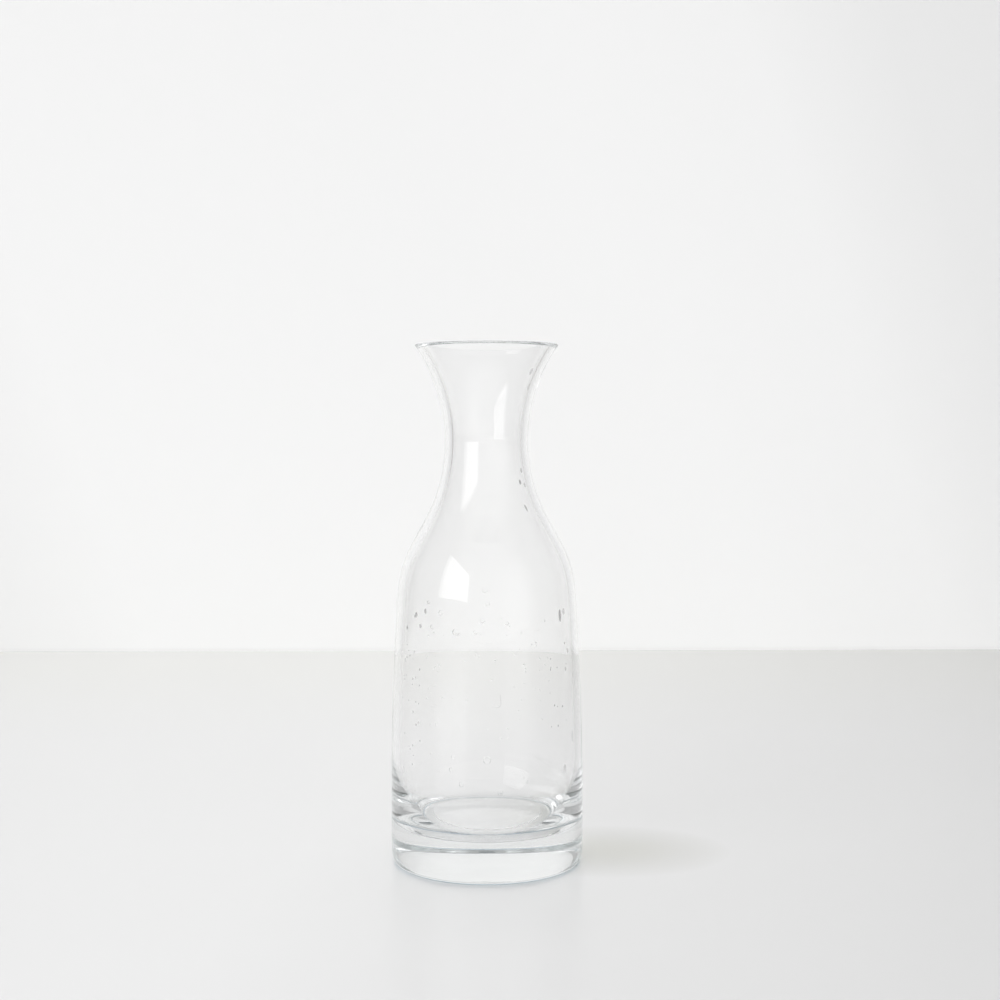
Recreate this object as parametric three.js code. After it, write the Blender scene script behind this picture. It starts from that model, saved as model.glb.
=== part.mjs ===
// A half-litre wine decanter: one piece of clear glass with a heavy base, upright walls that lean in
// a little, round shoulders, a narrow waist and a flared mouth. It has no stopper and no handle.
// Millimetres, +Z up, with the origin at the centre of the flat underside.
import * as THREE from "three";

const degrees = THREE.MathUtils.degToRad;

// Driving dimensions of the outside
const overallHeight = 215;
const baseRadius = 40;
const heelEdge = 2.3; // tight rounding at the edge of the flat underside
const heelBend = 16; // wider rounding from there up into the wall
const heelTurn = degrees(73); // lean of the heel where the two roundings meet
const footHeight = 25; // the wall stands upright from the heel to here
const bodyBow = 1260; // radius of the long shallow curve of the body
const bodyLean = degrees(4); // lean of the wall where the shoulder starts
const shoulderBend = 48;
const shoulderLean = degrees(28.5); // steepest lean, between shoulder and neck
const slopeLength = 12.2; // straight stretch at that lean
const neckBend = 67.6; // radius of the long hollow curve of neck and mouth

// Driving dimensions of the glass
const wall = 3.2;
const lipRounding = 0.45; // both edges of the flat lip
const cornerHeight = 28; // the wall starts to thicken this far above the floor
const floorHeight = 15.3; // the flat inner floor, above the underside
const floorRadius = 26.5;

// Fineness of the mesh
const roundSegments = 72;
const chordGap = 0.2; // furthest that a straight step may stand off the arc it follows
const largestTurn = degrees(25); // most that an arc may turn in one step

// Follows half of the vessel's section, as a pen would: each call starts where the last one ended
// and goes on in the same direction, so lines and arcs join smoothly. x is the radius, y the height.
class Outline {
  constructor(radius, height) {
    this.points = [new THREE.Vector2(radius, height)];
    this.heading = 0; // 0 is outwards and a quarter turn is up
  }

  get end() {
    return this.points[this.points.length - 1];
  }

  lineTo(radius, height) {
    this.points.push(new THREE.Vector2(radius, height));
  }

  line(length) {
    const { x, y } = this.end;
    this.lineTo(x + length * Math.cos(this.heading), y + length * Math.sin(this.heading));
  }

  // Turns left for a positive angle and right for a negative one.
  arc(radius, turn) {
    const side = Math.sign(turn) * radius;
    const centre = new THREE.Vector2(-Math.sin(this.heading), Math.cos(this.heading));
    centre.multiplyScalar(side).add(this.end);
    const turnByGap = 2 * Math.acos(1 - chordGap / radius);
    const steps = Math.ceil(Math.abs(turn) / Math.min(turnByGap, largestTurn));
    for (let step = 1; step <= steps; step++) {
      const heading = this.heading + (turn * step) / steps;
      this.lineTo(centre.x + side * Math.sin(heading), centre.y - side * Math.cos(heading));
    }
    this.heading += turn;
  }

  curve(curve, steps) {
    this.points.push(...curve.getPoints(steps).slice(1));
  }
}

// The outside from the middle of the underside up to the end of the shoulder's slope.
function followBody(outline) {
  const heelWidth = heelEdge * Math.sin(heelTurn) + heelBend * (1 - Math.sin(heelTurn));
  outline.line(baseRadius - heelWidth);
  outline.arc(heelEdge, heelTurn);
  outline.arc(heelBend, degrees(90) - heelTurn);
  outline.line(footHeight - outline.end.y);
  outline.arc(bodyBow, bodyLean);
  outline.arc(shoulderBend, shoulderLean - bodyLean);
  outline.line(slopeLength);
}

// Up the hollow curve of the neck, over the lip, a narrow flat top with both of its edges rounded,
// and back down the same curve inside the wall.
function followNeck(outline) {
  const waistHeight = outline.end.y + neckBend * Math.sin(shoulderLean);
  const lipRise = overallHeight - lipRounding - waistHeight;
  const outerReach = neckBend + lipRounding; // from the curve's centre to the lip's outer edge
  const innerReach = neckBend + wall - lipRounding;
  const outerFlare = Math.asin(lipRise / outerReach);
  const innerFlare = Math.asin(lipRise / innerReach);
  outline.arc(neckBend, -shoulderLean - outerFlare);
  outline.arc(lipRounding, degrees(90) + outerFlare);
  outline.line(innerReach * Math.cos(innerFlare) - outerReach * Math.cos(outerFlare));
  outline.arc(lipRounding, degrees(90) - innerFlare);
  outline.arc(neckBend + wall, innerFlare + shoulderLean);
}

// The inside of the body, one wall thickness from the outside, down to where the wall thickens.
function followInside(outline) {
  outline.line(slopeLength);
  outline.arc(shoulderBend - wall, bodyLean - shoulderLean);
  const bow = bodyBow - wall;
  const leanLeft = Math.asin((floorHeight + cornerHeight - footHeight) / bow);
  outline.arc(bow, leanLeft - bodyLean);
}

// The wide rounded corner where the wall thickens into the base, then the flat floor.
function followFloor(outline) {
  const cornerWidth = outline.end.x - floorRadius;
  outline.curve(
    new THREE.EllipseCurve(
      floorRadius, outline.end.y, cornerWidth, cornerHeight, 0, -Math.PI / 2, true,
    ),
    9,
  );
  outline.lineTo(0, floorHeight);
}

function decanterGlass() {
  const outline = new Outline(0, 0);
  followBody(outline);
  followNeck(outline);
  followInside(outline);
  followFloor(outline);
  const geometry = new THREE.LatheGeometry(outline.points, roundSegments);
  geometry.rotateX(Math.PI / 2);
  const material = new THREE.MeshStandardMaterial({
    color: 0xe9f1ef,
    roughness: 0.02,
    metalness: 0,
    transparent: true,
    opacity: 0.35,
  });
  const mesh = new THREE.Mesh(geometry, material);
  mesh.name = "decanter_glass";
  return mesh;
}

const decanter = new THREE.Group();
decanter.add(decanterGlass());

export default decanter;
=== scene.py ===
"""A half-litre glass wine decanter on a pale table, with rinse water still clinging inside it."""

import math
import random

import bpy
import numpy as np
from mathutils import Matrix, Vector


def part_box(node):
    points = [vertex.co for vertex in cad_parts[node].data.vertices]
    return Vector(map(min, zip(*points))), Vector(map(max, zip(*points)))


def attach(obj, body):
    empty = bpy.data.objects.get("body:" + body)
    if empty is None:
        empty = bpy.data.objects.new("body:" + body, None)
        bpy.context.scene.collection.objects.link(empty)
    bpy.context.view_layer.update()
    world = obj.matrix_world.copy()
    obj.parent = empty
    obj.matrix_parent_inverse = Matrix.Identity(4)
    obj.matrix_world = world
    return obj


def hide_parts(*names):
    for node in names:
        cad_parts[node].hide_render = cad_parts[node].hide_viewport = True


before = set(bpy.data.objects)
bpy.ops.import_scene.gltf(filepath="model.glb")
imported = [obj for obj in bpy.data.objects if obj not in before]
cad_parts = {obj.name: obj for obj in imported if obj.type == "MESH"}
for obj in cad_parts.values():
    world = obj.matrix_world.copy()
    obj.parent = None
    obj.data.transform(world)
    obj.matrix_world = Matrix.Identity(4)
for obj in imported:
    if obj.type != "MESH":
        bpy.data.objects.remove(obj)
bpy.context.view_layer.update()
vessel_top_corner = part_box("decanter_glass")[1]

# The vessel's outline, in metres: the same arcs as the CAD part.
OVERALL_HEIGHT = vessel_top_corner[2]
BASE_RADIUS = vessel_top_corner[0]
HEEL_EDGE = 0.0023  # tight rounding at the edge of the flat underside
HEEL_BEND = 0.016  # wider rounding from there up into the wall
HEEL_TURN = math.radians(73)
FOOT_HEIGHT = 0.025  # the wall stands upright to here
BODY_BOW = 1.26
BODY_LEAN = math.radians(4)
SHOULDER_BEND = 0.048
SHOULDER_LEAN = math.radians(28.5)
SLOPE_LENGTH = 0.0122
NECK_BEND = 0.0676
WALL = 0.0032
LIP_ROUNDING = 0.00045
CORNER_HEIGHT = 0.028  # the wall starts to thicken this far above the floor
FLOOR_HEIGHT = 0.0153
FLOOR_RADIUS = 0.0265
CORNER_TOP = FLOOR_HEIGHT + CORNER_HEIGHT

# Fineness of the meshes
ROUND_SEGMENTS = 192
OUTLINE_STEP = 0.0011
LARGEST_TURN = math.radians(6)
RIDGE_ROWS = 14
RIDGE_COLUMNS = 8

# Clear glass
GLASS_IOR = 1.52
GLASS_COLOUR = (0.62, 0.67, 0.68, 1)
GLASS_DENSITY = 3.0
# Painted glow: the glass gives off faint light of its own, so long paths in the base don't go black.
PAINTED_GLOW_COLOUR = (1.0, 1.0, 0.96, 1)
PAINTED_GLOW_STRENGTH = 0.3
WAVE_SCALE = 45.0
WAVE_DEPTH = 0.00006

# Painted shade: a darker, bluer band round the edge of the heel. Its stops are shares of HEEL_BAND.
HEEL_BAND = 0.008
HEEL_SHADE_BLUE = (0.28, 0.37, 0.44)
WHITE = (1.0, 1.0, 1.0)
HEEL_PAINTED_SHADES = ((0.009, WHITE), (0.025, HEEL_SHADE_BLUE), (0.100, HEEL_SHADE_BLUE), (0.140, WHITE))

# Scratches on the underside, in one patch
WEAR_MIDDLE = (0.003, -0.021)
WEAR_HALF_WIDTHS = (0.017, 0.006)
WEAR_HALF_DEPTH = 0.0002
SCRATCH_SCALE = (90, 1100, 1)
SCRATCH_LINES = ((0.54, 1.0), (0.6, 0.5), (0.66, 1.0))
WEAR_FADE = ((0.5, 0.0), (1.0, 1.0))

# Water left from rinsing, on the inner wall. A big drop or a point of a streak starts with its
# angle round from the front in degrees and its height in millimetres. A big drop then has its
# width and length in millimetres.
BIG_DROPS = (
    (0, 50, 3, 3),
    (8, 37, 2, 2.5),
    (-20, 100, 3, 3),
    (-62, 42, 2, 3),
    (-62, 34, 1.5, 2),
    (-50, 28, 5, 3.5),
    (55, 43, 2, 3.5),
    (65, 55, 2, 5),
    (55, 105, 2, 5),
)
STREAKS = (
    ((8, 76), (8, 71), (3, 71)),
    ((48, 149), (50, 146)),
)
# Where middle-sized drops lie: how many, then the middle and spread of their angles in degrees
# and of their heights in millimetres
DROP_BANDS = (
    (8, -50, 10, 104, 6),
    (5, 8, 14, 103, 5),
    (3, 62, 4, 95, 8),
    (4, 64, 4, 200, 8),
    (3, 58, 6, 155, 8),
    (4, -22, 12, 45, 8),
)
DROP_WIDTHS = (1.3, 2.1)
DROP_STRETCHES = (0.9, 1.6)  # a drop's length as a share of its width
DROP_SWELL = 0.13  # how far a drop stands off the wall, as a share of its smaller side
STREAK_WIDTH = 0.0008
STREAK_SWELL = 0.000035
FINE_DROPS = 130
FINE_LEFT = (-45, 10)  # middle and spread of the angles
FINE_RIGHT = (30, 18)
FINE_ANYWHERE = (-65, 65)  # lowest and highest
FINE_HEIGHTS = (34, 108, 88)  # lowest, highest and most usual
FINE_WIDTHS = (0.35, 0.9)
FINE_STRETCH = 1.2
FINE_SWELL = 0.3
WATER_SEED = 7
WATER_GAP = 0.00002
WATER_IOR = 1.333
RIPPLE_SCALE = 90.0
RIPPLE_STRENGTH = 0.1
RIPPLE_DEPTH = 0.0004
PUDDLE_RADIUS = 0.0238
PUDDLE_DEPTH = 0.0006
PUDDLE_EDGE_TURN = math.radians(165)
PUDDLE_CROWN = 0.0001  # the pool's middle stands this far above its edge

# Table and back wall. Shades are (place along the ramp, grey level or colour).
TABLE_HALF_SIZE = 3.0
TABLE_DROP = 0.00005
TABLE_ROUGHNESS = 0.25
TABLE_SLANT = -0.14
TABLE_SHADE_WIDTH = 0.8
# Painted falloff of the window's light: the table darkens towards the right.
TABLE_PAINTED_FALLOFF = ((0.1, 0.84), (0.4, 0.84), (0.55, 0.78), (0.75, 0.72), (1.0, 0.64))
TABLE_FAR_START = 0.2
TABLE_FAR = ((0.45, WHITE), (0.7, (1.0, 1.0, 0.975)))
# Painted shadow of the vessel: a soft, darker olive patch on the table just to its right.
SHADOW_PATCH_MIDDLE = (0.050, 0.012)
SHADOW_PATCH_HALF_WIDTHS = (0.055, 0.040)
TABLE_PAINTED_SHADOW = ((0.0, (0.82, 0.82, 0.775)), (0.35, (0.89, 0.89, 0.87)), (1.0, WHITE))
WALL_DISTANCE = 0.582
WALL_LEFT = -0.80
WALL_RIGHT = 1.4
WALL_FOOT = -0.1
WALL_HEIGHT = 0.56
WALL_ROUGHNESS = 0.9
WALL_SLANT = 0.35
WALL_SHADE_WIDTH = 2.2
WALL_SHADE_START = 0.423
# Painted light and shade across the wall: darker towards both ends, brightest a little right of the
# middle.
WALL_PAINTED_SHADE_ACROSS = (
    (0.1, 0.72),
    (0.3, 0.92),
    (0.46, 0.93),
    (0.53, 0.945),
    (0.595, 0.94),
    (0.645, 0.875),
    (0.85, 0.80),
    (1.0, 0.6),
)
# Painted shade up the wall: a thin darker strip along the foot, and darker towards the top.
WALL_PAINTED_SHADE_UP = ((0.0, 0.95), (0.004, 1.0), (0.44, 0.965), (0.8, 0.93))

# The rest of the room, seen only in the glass and lighting it
ROOM_SHADES = ((0.0, 0.90), (0.2, 0.80), (0.35, 0.40), (0.8, 0.40))
CEILING_HEIGHTS = ((0.55, 0.0), (0.64, 1.0), (0.96, 1.0), (0.99, 0.2))
CEILING_AHEAD = ((0.27, 1.0), (0.30, 0.0))
CEILING_PATCH_SCALE = 9.0
CEILING_COLOURS = (
    (0.45, (0.006, 0.014, 0.02)),
    (0.55, (0.01, 0.03, 0.045)),
    (0.60, (0.06, 0.17, 0.28)),
    (0.65, (0.01, 0.03, 0.045)),
)
SOFT_LIGHT = 1.0

# The window: the ends of its sill seen from above, its lower and upper edge, and its brightness
WINDOW_NEAR_EDGE = Vector((-1.5, -0.75))
WINDOW_FAR_EDGE = Vector((-1.2, -2.6))
WINDOW_SILL = 0.17
WINDOW_TOP = 1.50
WINDOW_RADIANCE = 1.4

# Camera
CAMERA_PLACE = (0, -0.631, 0.1830)
CAMERA_PITCH = math.radians(90 - 2.93)
CAMERA_YAW = math.radians(-0.5)
CAMERA_ROLL = math.radians(-0.05)
SENSOR_WIDTH = 36
LENS_LENGTH = 54.8

LIGHT_BOUNCES = 96


class Outline:
    """Half of a round piece's section, drawn as a pen would: each call starts where the last ended."""

    def __init__(self, radius, height):
        self.points = [(radius, height)]
        self.heading = 0.0

    def curve(self, place, length, least_steps=1):
        """Adds the points place(t), for t from 0 to 1, about one step apart."""
        steps = max(least_steps, math.ceil(length / OUTLINE_STEP))
        self.points += [place(step / steps) for step in range(1, steps + 1)]

    def line_to(self, radius, height):
        start = self.points[-1]
        way = (radius - start[0], height - start[1])
        self.curve(lambda t: (start[0] + way[0] * t, start[1] + way[1] * t), math.hypot(*way))

    def line(self, length):
        radius, height = self.points[-1]
        self.line_to(
            radius + length * math.cos(self.heading), height + length * math.sin(self.heading)
        )

    def arc(self, bend, turn):
        """Turns left for a positive angle and right for a negative one."""
        side = math.copysign(bend, turn)
        first = self.heading
        radius, height = self.points[-1]
        centre = (radius - side * math.sin(first), height + side * math.cos(first))

        def place(t):
            heading = first + turn * t
            return (centre[0] + side * math.sin(heading), centre[1] - side * math.cos(heading))

        self.curve(place, bend * abs(turn), math.ceil(abs(turn) / LARGEST_TURN))
        self.heading += turn


def follow_body(pen):
    """The outside from the middle of the underside up to the end of the shoulder's slope."""
    heel_width = HEEL_EDGE * math.sin(HEEL_TURN) + HEEL_BEND * (1 - math.sin(HEEL_TURN))
    pen.line(BASE_RADIUS - heel_width)
    pen.arc(HEEL_EDGE, HEEL_TURN)
    pen.arc(HEEL_BEND, math.pi / 2 - HEEL_TURN)
    pen.line(FOOT_HEIGHT - pen.points[-1][1])
    pen.arc(BODY_BOW, BODY_LEAN)
    pen.arc(SHOULDER_BEND, SHOULDER_LEAN - BODY_LEAN)
    pen.line(SLOPE_LENGTH)


def follow_neck(pen):
    """Up the hollow curve of the neck, over the lip and back down inside the wall."""
    waist_height = pen.points[-1][1] + NECK_BEND * math.sin(SHOULDER_LEAN)
    lip_rise = OVERALL_HEIGHT - LIP_ROUNDING - waist_height
    outer_reach = NECK_BEND + LIP_ROUNDING
    inner_reach = NECK_BEND + WALL - LIP_ROUNDING
    outer_flare = math.asin(lip_rise / outer_reach)
    inner_flare = math.asin(lip_rise / inner_reach)
    pen.arc(NECK_BEND, -SHOULDER_LEAN - outer_flare)
    pen.arc(LIP_ROUNDING, math.pi / 2 + outer_flare)
    pen.line(inner_reach * math.cos(inner_flare) - outer_reach * math.cos(outer_flare))
    pen.arc(LIP_ROUNDING, math.pi / 2 - inner_flare)
    pen.arc(NECK_BEND + WALL, inner_flare + SHOULDER_LEAN)


def follow_inside(pen):
    """The inside of the body, down to where the wall thickens."""
    pen.line(SLOPE_LENGTH)
    pen.arc(SHOULDER_BEND - WALL, BODY_LEAN - SHOULDER_LEAN)
    lean_left = math.asin((CORNER_TOP - FOOT_HEIGHT) / (BODY_BOW - WALL))
    pen.arc(BODY_BOW - WALL, lean_left - BODY_LEAN)


def follow_floor(pen):
    """The wide rounded corner into the base, then the flat floor."""
    corner_width = pen.points[-1][0] - FLOOR_RADIUS

    def corner(t):
        angle = t * math.pi / 2
        return (
            FLOOR_RADIUS + corner_width * math.cos(angle),
            CORNER_TOP - CORNER_HEIGHT * math.sin(angle),
        )

    pen.curve(corner, CORNER_HEIGHT + corner_width)
    pen.line_to(0.0, FLOOR_HEIGHT)


def vessel_outline():
    """The closed section, from the middle of the underside round to the middle of the floor."""
    pen = Outline(0.0, 0.0)
    follow_body(pen)
    follow_neck(pen)
    follow_inside(pen)
    follow_floor(pen)
    return pen.points


def puddle_outline():
    """A thin pool on the middle of the floor, its edge rounded."""
    pen = Outline(0.0, FLOOR_HEIGHT + WATER_GAP)
    pen.line(PUDDLE_RADIUS)
    pen.arc(PUDDLE_DEPTH / 2, PUDDLE_EDGE_TURN)
    pen.line_to(0.0, pen.points[-1][1] + PUDDLE_CROWN)
    return pen.points


def new_object(name, verts, faces, material, smooth=True):
    """A mesh object of one material, added to the scene."""
    mesh = bpy.data.meshes.new(name)
    mesh.from_pydata(verts, [], faces)
    mesh.validate()
    obj = bpy.data.objects.new(name, mesh)
    bpy.context.collection.objects.link(obj)
    obj.data.materials.append(material)
    if smooth:
        mesh.shade_smooth()
    return obj


def lathe(name, outline, material):
    """Turns an outline that starts and ends on the axis into a closed mesh."""
    ring = outline[1:-1]
    verts = [(0.0, 0.0, outline[0][1])]
    for radius, height in ring:
        for segment in range(ROUND_SEGMENTS):
            angle = 2 * math.pi * segment / ROUND_SEGMENTS
            verts.append((radius * math.cos(angle), radius * math.sin(angle), height))
    verts.append((0.0, 0.0, outline[-1][1]))
    last_ring = 1 + (len(ring) - 1) * ROUND_SEGMENTS
    faces = []
    for segment in range(ROUND_SEGMENTS):
        after = (segment + 1) % ROUND_SEGMENTS
        faces.append((0, 1 + after, 1 + segment))
        for row in range(len(ring) - 1):
            here = 1 + row * ROUND_SEGMENTS
            above = here + ROUND_SEGMENTS
            faces.append((here + segment, here + after, above + after, above + segment))
        faces.append((last_ring + segment, last_ring + after, len(verts) - 1))
    return new_object(name, verts, faces, material)


def inner_wall(outline):
    """A function for the radius of the inner wall at a height."""
    lip_points = 8  # over the lip's flat top and on to its inner rounding
    top = max(range(len(outline)), key=lambda index: outline[index][1])
    inside = [(height, radius) for radius, height in outline[top + lip_points : -1]]
    heights, radii = zip(*sorted(inside))
    return lambda height: float(np.interp(height, heights, radii))


def around(angle, radius, height):
    """The point at an angle round from the front."""
    return (radius * math.sin(angle), -radius * math.cos(angle), height)


def ridge_points(wall, path, width, swell, steps):
    """Rows of points across a path on the inner wall, raised by swell along the middle."""
    ahead_by = 0.05
    points = []
    for t in steps:
        angle, height = path(t)
        ahead, behind = path(min(1, t + ahead_by)), path(max(-1, t - ahead_by))
        run = (ahead[0] - behind[0]) * wall(height), ahead[1] - behind[1]
        length = math.hypot(*run) or 1
        half = width / 2 * math.sqrt(max(0.0, 1 - t**2))
        for column in range(RIDGE_COLUMNS + 1):
            across = -1 + 2 * column / RIDGE_COLUMNS
            at_angle = angle + across * half * run[1] / length / wall(height)
            at_height = height - across * half * run[0] / length
            rise = swell * (1 - t**2) * (1 - across**2)
            points.append(around(at_angle, wall(at_height) - WATER_GAP - rise, at_height))
    return points


def add_ridge(verts, faces, wall, path, width, swell):
    """Adds one lens of water along a path: path(t), for t from -1 to 1, is an angle and a height."""
    start = len(verts)
    steps = [math.sin(math.pi / 2 * (2 * row / RIDGE_ROWS - 1)) for row in range(1, RIDGE_ROWS)]
    verts += ridge_points(wall, path, width, swell, steps)
    under = len(verts)
    verts += ridge_points(wall, path, width, 0.0, steps)
    row_length = RIDGE_COLUMNS + 1

    def top_of(row, column):
        return start + row * row_length + column

    def base_of(row, column):
        edge = column in (0, RIDGE_COLUMNS)
        return (start if edge else under) + row * row_length + column

    for row in range(len(steps) - 1):
        for column in range(RIDGE_COLUMNS):
            on_top = ((row, column), (row, column + 1), (row + 1, column + 1), (row + 1, column))
            on_base = ((row, column), (row + 1, column), (row + 1, column + 1), (row, column + 1))
            faces.append([top_of(*corner) for corner in on_top])
            faces.append([base_of(*corner) for corner in on_base])
    for end, row in ((-1, 0), (1, len(steps) - 1)):
        angle, height = path(end)
        tip = len(verts)
        verts.append(around(angle, wall(height) - WATER_GAP, height))
        forwards, backwards = (top_of, base_of) if end > 0 else (base_of, top_of)
        for column in range(RIDGE_COLUMNS):
            faces.append((tip, forwards(row, column), forwards(row, column + 1)))
            faces.append((tip, backwards(row, column + 1), backwards(row, column)))


def along(points):
    """A path through a few (degrees, millimetres) points, its corners rounded off."""
    angles = [math.radians(angle) for angle, height in points]
    heights = [height / 1000 for angle, height in points]
    places = np.linspace(-1, 1, len(points))
    reach = 0.3
    neighbours = np.linspace(-reach, reach, 7)

    def path(t):
        near = np.clip(t + neighbours * (1 - abs(t)), -1, 1)
        return (
            float(np.mean(np.interp(near, places, angles))),
            float(np.mean(np.interp(near, places, heights))),
        )

    return path


def upright(angle, height, length):
    """A path straight down the wall, for a drop."""
    return along(((angle, height + length / 2), (angle, height - length / 2)))


def middle_drops(chance):
    drops = []
    for how_many, angle, turn, height, rise in DROP_BANDS:
        for _ in range(how_many):
            width = chance.uniform(*DROP_WIDTHS)
            place = chance.gauss(angle, turn), chance.gauss(height, rise)
            drops.append((*place, width, width * chance.uniform(*DROP_STRETCHES)))
    return drops


def fine_drop(chance):
    """The angle, height and width of one of the smallest drops, most of them left or right."""
    left = chance.gauss(*FINE_LEFT)
    right = chance.gauss(*FINE_RIGHT)
    anywhere = chance.uniform(*FINE_ANYWHERE)
    angle = chance.choice((left, right, anywhere))
    return angle, chance.triangular(*FINE_HEIGHTS), chance.uniform(*FINE_WIDTHS)


def water_on_wall(outline, material):
    wall = inner_wall(outline)
    chance = random.Random(WATER_SEED)
    verts, faces = [], []
    for angle, height, width, length in (*BIG_DROPS, *middle_drops(chance)):
        swell = DROP_SWELL * min(width, length) / 1000
        add_ridge(verts, faces, wall, upright(angle, height, length), width / 1000, swell)
    for points in STREAKS:
        add_ridge(verts, faces, wall, along(points), STREAK_WIDTH, STREAK_SWELL)
    for _ in range(FINE_DROPS):
        angle, height, width = fine_drop(chance)
        path = upright(angle, height, FINE_STRETCH * width)
        add_ridge(verts, faces, wall, path, width / 1000, FINE_SWELL * width / 1000)
    return new_object("water_drops", verts, faces, material)


def add_ramp(tree, source, stops):
    """Colours a value: stops are (position, grey level or colour) pairs."""
    ramp = tree.nodes.new("ShaderNodeValToRGB")
    elements = ramp.color_ramp.elements
    while len(elements) < len(stops):
        elements.new(0.5)
    for element, (position, colour) in zip(elements, stops):
        element.position = position
        element.color = (*colour, 1) if isinstance(colour, tuple) else (colour, colour, colour, 1)
    tree.links.new(source, ramp.inputs["Fac"])
    return ramp.outputs["Color"]


def add_math(tree, operation, *values):
    """A maths node; each value is a number or another node's output."""
    node = tree.nodes.new("ShaderNodeMath")
    node.operation = operation
    for socket, value in zip(node.inputs, values):
        if isinstance(value, (int, float)):
            socket.default_value = value
        else:
            tree.links.new(value, socket)
    return node.outputs[0]


def add_product(tree, first, second):
    """Multiplies two colours."""
    node = tree.nodes.new("ShaderNodeMix")
    node.data_type = "RGBA"
    node.blend_type = "MULTIPLY"
    node.inputs["Factor"].default_value = 1.0
    tree.links.new(first, node.inputs["A"])
    tree.links.new(second, node.inputs["B"])
    return node.outputs["Result"]


def add_zone(tree, *limits):
    """How far a point is from the middle of an ellipsoid, squared: 0 there and 1 at the edge.
    Each limit is (coordinate, middle, half width)."""
    total = 0.0
    for value, middle, half in limits:
        share = add_math(tree, "DIVIDE", add_math(tree, "SUBTRACT", value, middle), half)
        total = add_math(tree, "ADD", add_math(tree, "POWER", share, 2.0), total)
    return total


def object_coordinates(tree):
    return tree.nodes.new("ShaderNodeTexCoord").outputs["Object"]


def split(tree, vector):
    """The X, Y and Z of a vector, by name."""
    parts = tree.nodes.new("ShaderNodeSeparateXYZ")
    tree.links.new(vector, parts.inputs[0])
    return parts.outputs


def add_noise(tree, vector, scale, detail):
    noise = tree.nodes.new("ShaderNodeTexNoise")
    noise.inputs["Scale"].default_value = scale
    noise.inputs["Detail"].default_value = detail
    tree.links.new(vector, noise.inputs["Vector"])
    return noise.outputs["Fac"]


def add_bump(tree, height, strength, distance):
    bump = tree.nodes.new("ShaderNodeBump")
    bump.inputs["Strength"].default_value = strength
    bump.inputs["Distance"].default_value = distance
    tree.links.new(height, bump.inputs["Height"])
    return bump.outputs["Normal"]


def new_material(name, roughness):
    material = bpy.data.materials.new(name)
    material.use_nodes = True
    shader = material.node_tree.nodes["Principled BSDF"]
    shader.inputs["Roughness"].default_value = roughness
    return material, material.node_tree, shader


def painted_heel_shade(tree):
    """White, but for painted shade: a darker and bluer band round the tight edge of the heel."""
    height = split(tree, object_coordinates(tree))["Z"]
    return add_ramp(tree, add_math(tree, "MULTIPLY", height, 1 / HEEL_BAND), HEEL_PAINTED_SHADES)


def wear_marks(tree):
    """Fine scratches on the underside, side by side, in one patch."""
    stretch = tree.nodes.new("ShaderNodeMapping")
    stretch.inputs["Scale"].default_value = SCRATCH_SCALE
    tree.links.new(object_coordinates(tree), stretch.inputs["Vector"])
    scratches = add_noise(tree, stretch.outputs["Vector"], scale=1.0, detail=3.0)
    place = split(tree, object_coordinates(tree))
    patch = add_zone(
        tree,
        (place["X"], WEAR_MIDDLE[0], WEAR_HALF_WIDTHS[0]),
        (place["Y"], WEAR_MIDDLE[1], WEAR_HALF_WIDTHS[1]),
        (place["Z"], 0.0, WEAR_HALF_DEPTH),
    )
    blend = tree.nodes.new("ShaderNodeMix")
    blend.data_type = "RGBA"
    tree.links.new(add_ramp(tree, patch, WEAR_FADE), blend.inputs["Factor"])
    tree.links.new(add_ramp(tree, scratches, SCRATCH_LINES), blend.inputs["A"])
    blend.inputs["B"].default_value = (*WHITE, 1)
    return blend.outputs["Result"]


def uneven_surface(tree):
    """The slow waviness of fire-polished glass, and the scratches cut into it."""
    waves = add_noise(tree, object_coordinates(tree), WAVE_SCALE, detail=0.0)
    relief = add_math(tree, "ADD", waves, wear_marks(tree))
    return add_bump(tree, relief, 1.0, WAVE_DEPTH)


def glass_body(tree):
    """Absorption, and a faint painted glow that keeps the longest light paths in the base from going
    black.
    """
    absorb = tree.nodes.new("ShaderNodeVolumeAbsorption")
    absorb.inputs["Color"].default_value = GLASS_COLOUR
    absorb.inputs["Density"].default_value = GLASS_DENSITY
    glow = tree.nodes.new("ShaderNodeEmission")
    glow.inputs["Color"].default_value = PAINTED_GLOW_COLOUR
    glow.inputs["Strength"].default_value = PAINTED_GLOW_STRENGTH
    body = tree.nodes.new("ShaderNodeAddShader")
    tree.links.new(absorb.outputs["Volume"], body.inputs[0])
    tree.links.new(glow.outputs["Emission"], body.inputs[1])
    return body.outputs["Shader"]


def glass_material():
    """Clear glass, with painted shade at the heel and a faint painted glow inside, a little wavy and
    scratched underneath.
    """
    material, tree, shader = new_material("clear_glass", 0.0)
    shader.inputs["IOR"].default_value = GLASS_IOR
    shader.inputs["Transmission Weight"].default_value = 1.0
    tree.links.new(painted_heel_shade(tree), shader.inputs["Base Color"])
    tree.links.new(uneven_surface(tree), shader.inputs["Normal"])
    tree.links.new(glass_body(tree), tree.nodes["Material Output"].inputs["Volume"])
    return material


def water_material():
    """Clear water, its surface rippled a little."""
    material, tree, shader = new_material("rinse_water", 0.0)
    shader.inputs["IOR"].default_value = WATER_IOR
    shader.inputs["Transmission Weight"].default_value = 1.0
    shader.inputs["Base Color"].default_value = (*WHITE, 1)
    ripples = add_noise(tree, object_coordinates(tree), RIPPLE_SCALE, detail=2.0)
    bump = add_bump(tree, ripples, RIPPLE_STRENGTH, RIPPLE_DEPTH)
    tree.links.new(bump, shader.inputs["Normal"])
    return material


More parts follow.
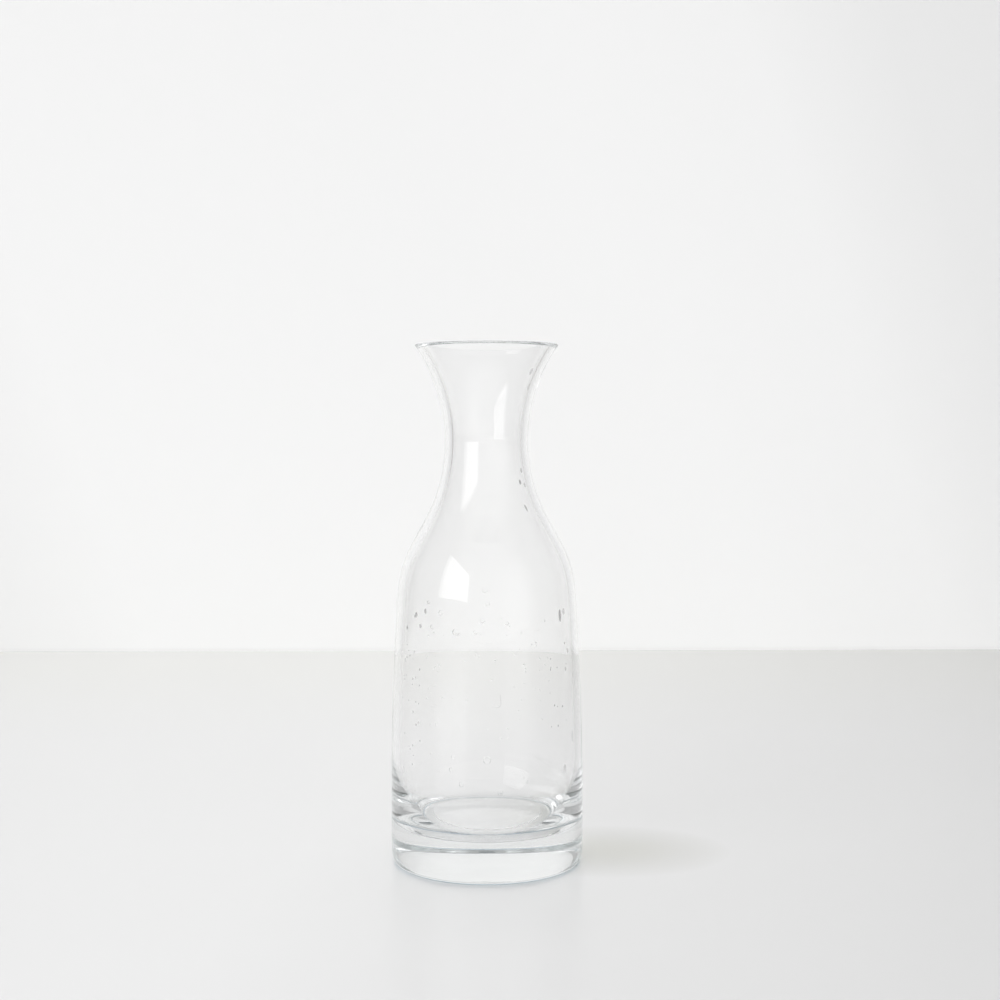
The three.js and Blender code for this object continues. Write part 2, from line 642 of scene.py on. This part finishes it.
def wall_material():
    """Pale paint with painted light and shade: its tone drifting a little across the wall, darker
    towards both far ends and the top, and a thin painted shade along the foot.
    """
    material, tree, shader = new_material("wall_paint", WALL_ROUGHNESS)
    place = split(tree, object_coordinates(tree))
    slanted = add_math(tree, "MULTIPLY_ADD", place["Z"], WALL_SLANT, place["X"])
    share = add_math(tree, "MULTIPLY_ADD", slanted, 1 / WALL_SHADE_WIDTH, WALL_SHADE_START)
    across = add_ramp(tree, share, WALL_PAINTED_SHADE_ACROSS)
    up = add_ramp(tree, place["Z"], WALL_PAINTED_SHADE_UP)
    tree.links.new(add_math(tree, "MULTIPLY", across, up), shader.inputs["Base Color"])
    return material


def table_material():
    """Pale laminate with painted light and shade: darker away from the window, and a painted shadow of
    the vessel in a soft patch next to it.
    """
    material, tree, shader = new_material("table_top", TABLE_ROUGHNESS)
    place = split(tree, object_coordinates(tree))
    slanted = add_math(tree, "MULTIPLY_ADD", place["Y"], TABLE_SLANT, place["X"])
    share = add_math(tree, "MULTIPLY_ADD", slanted, 1 / TABLE_SHADE_WIDTH, 0.5)
    shade = add_ramp(tree, share, TABLE_PAINTED_FALLOFF)
    far = add_ramp(tree, add_math(tree, "ADD", place["Y"], TABLE_FAR_START), TABLE_FAR)
    # Painted shadow of the vessel on the table.
    shadow_patch = add_zone(
        tree,
        (place["X"], SHADOW_PATCH_MIDDLE[0], SHADOW_PATCH_HALF_WIDTHS[0]),
        (place["Y"], SHADOW_PATCH_MIDDLE[1], SHADOW_PATCH_HALF_WIDTHS[1]),
    )
    shade = add_product(tree, add_product(tree, shade, far), add_ramp(tree, shadow_patch, TABLE_PAINTED_SHADOW))
    tree.links.new(shade, shader.inputs["Base Color"])
    return material


def make_room():
    size = TABLE_HALF_SIZE
    back = WALL_DISTANCE
    table_corners = [(-size, -size, 0), (size, -size, 0), (size, back, 0), (-size, back, 0)]
    table = new_object("table", table_corners, [(0, 1, 2, 3)], table_material(), smooth=False)
    table.location.z = -TABLE_DROP
    wall_corners = [
        (WALL_LEFT, back, WALL_FOOT),
        (WALL_RIGHT, back, WALL_FOOT),
        (WALL_RIGHT, back, WALL_HEIGHT),
        (WALL_LEFT, back, WALL_HEIGHT),
    ]
    wall = new_object("back_wall", wall_corners, [(0, 1, 2, 3)], wall_material(), smooth=False)


def room_colour(tree):
    """Pale behind the camera, dim ahead, and dark and bluish high up above the back wall."""
    direction = tree.nodes.new("ShaderNodeTexCoord").outputs["Generated"]
    parts = split(tree, direction)
    ahead = add_math(tree, "MULTIPLY_ADD", parts["Y"], 0.5, 0.5)
    turn = add_math(tree, "ABSOLUTE", add_math(tree, "ARCTAN2", parts["X"], parts["Y"]))
    sector = add_ramp(tree, add_math(tree, "MULTIPLY", turn, 1 / math.pi), CEILING_AHEAD)
    above = add_ramp(tree, parts["Z"], CEILING_HEIGHTS)
    patches = add_noise(tree, direction, CEILING_PATCH_SCALE, detail=1.0)
    blend = tree.nodes.new("ShaderNodeMix")
    blend.data_type = "RGBA"
    tree.links.new(add_math(tree, "MULTIPLY", above, sector), blend.inputs["Factor"])
    tree.links.new(add_ramp(tree, ahead, ROOM_SHADES), blend.inputs["A"])
    tree.links.new(add_ramp(tree, patches, CEILING_COLOURS), blend.inputs["B"])
    return blend.outputs["Result"]


def make_world():
    """The room as the glass shows it, and plain soft light for table and wall."""
    world = bpy.data.worlds.new("room")
    bpy.context.scene.world = world
    world.use_nodes = True
    tree = world.node_tree
    room = tree.nodes["Background"]
    tree.links.new(room_colour(tree), room.inputs["Color"])
    soft = tree.nodes.new("ShaderNodeBackground")
    soft.inputs["Color"].default_value = (*WHITE, 1)
    soft.inputs["Strength"].default_value = SOFT_LIGHT
    path = tree.nodes.new("ShaderNodeLightPath")
    scattered = add_math(tree, "GREATER_THAN", path.outputs["Diffuse Depth"], 0.5)
    mix = tree.nodes.new("ShaderNodeMixShader")
    tree.links.new(scattered, mix.inputs[0])
    tree.links.new(room.outputs[0], mix.inputs[1])
    tree.links.new(soft.outputs[0], mix.inputs[2])
    tree.links.new(mix.outputs[0], tree.nodes["World Output"].inputs["Surface"])


def make_window():
    """A tall window in the wall to the left, nearer the camera than the vessel."""
    sill_line = WINDOW_FAR_EDGE - WINDOW_NEAR_EDGE
    middle = (WINDOW_NEAR_EDGE + WINDOW_FAR_EDGE) / 2
    data = bpy.data.lights.new("window", "AREA")
    data.shape = "RECTANGLE"
    data.size = sill_line.length
    data.size_y = WINDOW_TOP - WINDOW_SILL
    data.energy = WINDOW_RADIANCE * math.pi * data.size * data.size_y
    window = bpy.data.objects.new("window", data)
    bpy.context.collection.objects.link(window)
    window.matrix_world = (
        Matrix.Translation((*middle, (WINDOW_SILL + WINDOW_TOP) / 2))
        @ Matrix.Rotation(math.atan2(sill_line.y, sill_line.x), 4, "Z")
        @ Matrix.Rotation(math.radians(90), 4, "X")
    )


def make_camera():
    data = bpy.data.cameras.new("camera")
    data.sensor_width = SENSOR_WIDTH
    data.lens = LENS_LENGTH
    camera = bpy.data.objects.new("camera", data)
    bpy.context.collection.objects.link(camera)
    camera.location = CAMERA_PLACE
    turn = (
        Matrix.Rotation(CAMERA_YAW, 3, "Z")
        @ Matrix.Rotation(CAMERA_PITCH, 3, "X")
        @ Matrix.Rotation(CAMERA_ROLL, 3, "Z")
    )
    camera.rotation_euler = turn.to_euler()
    bpy.context.scene.camera = camera


def set_light_paths():
    """Enough bounces for light to find its way out of the thick base."""
    scene = bpy.context.scene
    scene.view_settings.view_transform = "Standard"
    scene.cycles.max_bounces = LIGHT_BOUNCES
    scene.cycles.transmission_bounces = LIGHT_BOUNCES
    scene.cycles.glossy_bounces = LIGHT_BOUNCES
    scene.cycles.blur_glossy = 0.0


def make_decanter():
    outline = vessel_outline()
    glass = lathe("glass_vessel", outline, glass_material())
    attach(glass, "root")
    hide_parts("decanter_glass")
    water = water_material()
    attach(water_on_wall(outline, water), "root")
    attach(lathe("water_on_floor", puddle_outline(), water), "root")


set_light_paths()
make_camera()
make_room()
make_world()
make_window()
make_decanter()
